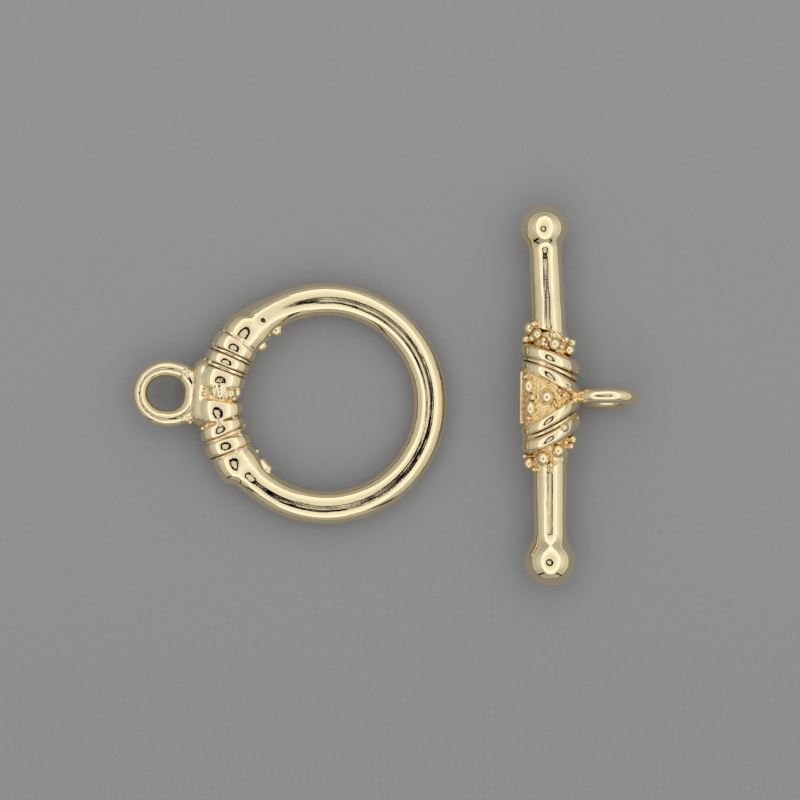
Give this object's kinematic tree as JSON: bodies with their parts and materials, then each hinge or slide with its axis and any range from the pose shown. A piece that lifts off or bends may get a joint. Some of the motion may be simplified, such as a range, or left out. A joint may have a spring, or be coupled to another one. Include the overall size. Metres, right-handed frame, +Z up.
{
  "type": "toggle clasp",
  "caption": "Gold-toned toggle clasp in two castings: a round hoop bound with cast turns and an eye, and a ball-ended bar with slanting bands, beads and an eye.",
  "frame": {"origin": "on the surface that both halves lie on, under the middle of the box round both halves", "axes": "+X from the ring half's eye to the bar half's eye, +Y along the bar, +Z up from the surface"},
  "size_m": [0.0316, 0.0238, 0.0041],
  "materials": {
    "gold_plate": "polished pale gold plate on a cast white metal"
  },
  "bodies": {
    "ring_half": {"toggle_ring": "gold_plate"},
    "bar_half": {"toggle_bar": "gold_plate"}
  },
  "joints": [
    {"name": "bar_lift", "type": "slide", "parent": "ring_half", "child": "bar_half", "axis": [0, 0, 1], "range_m": [0, 0.015]}
  ]
}
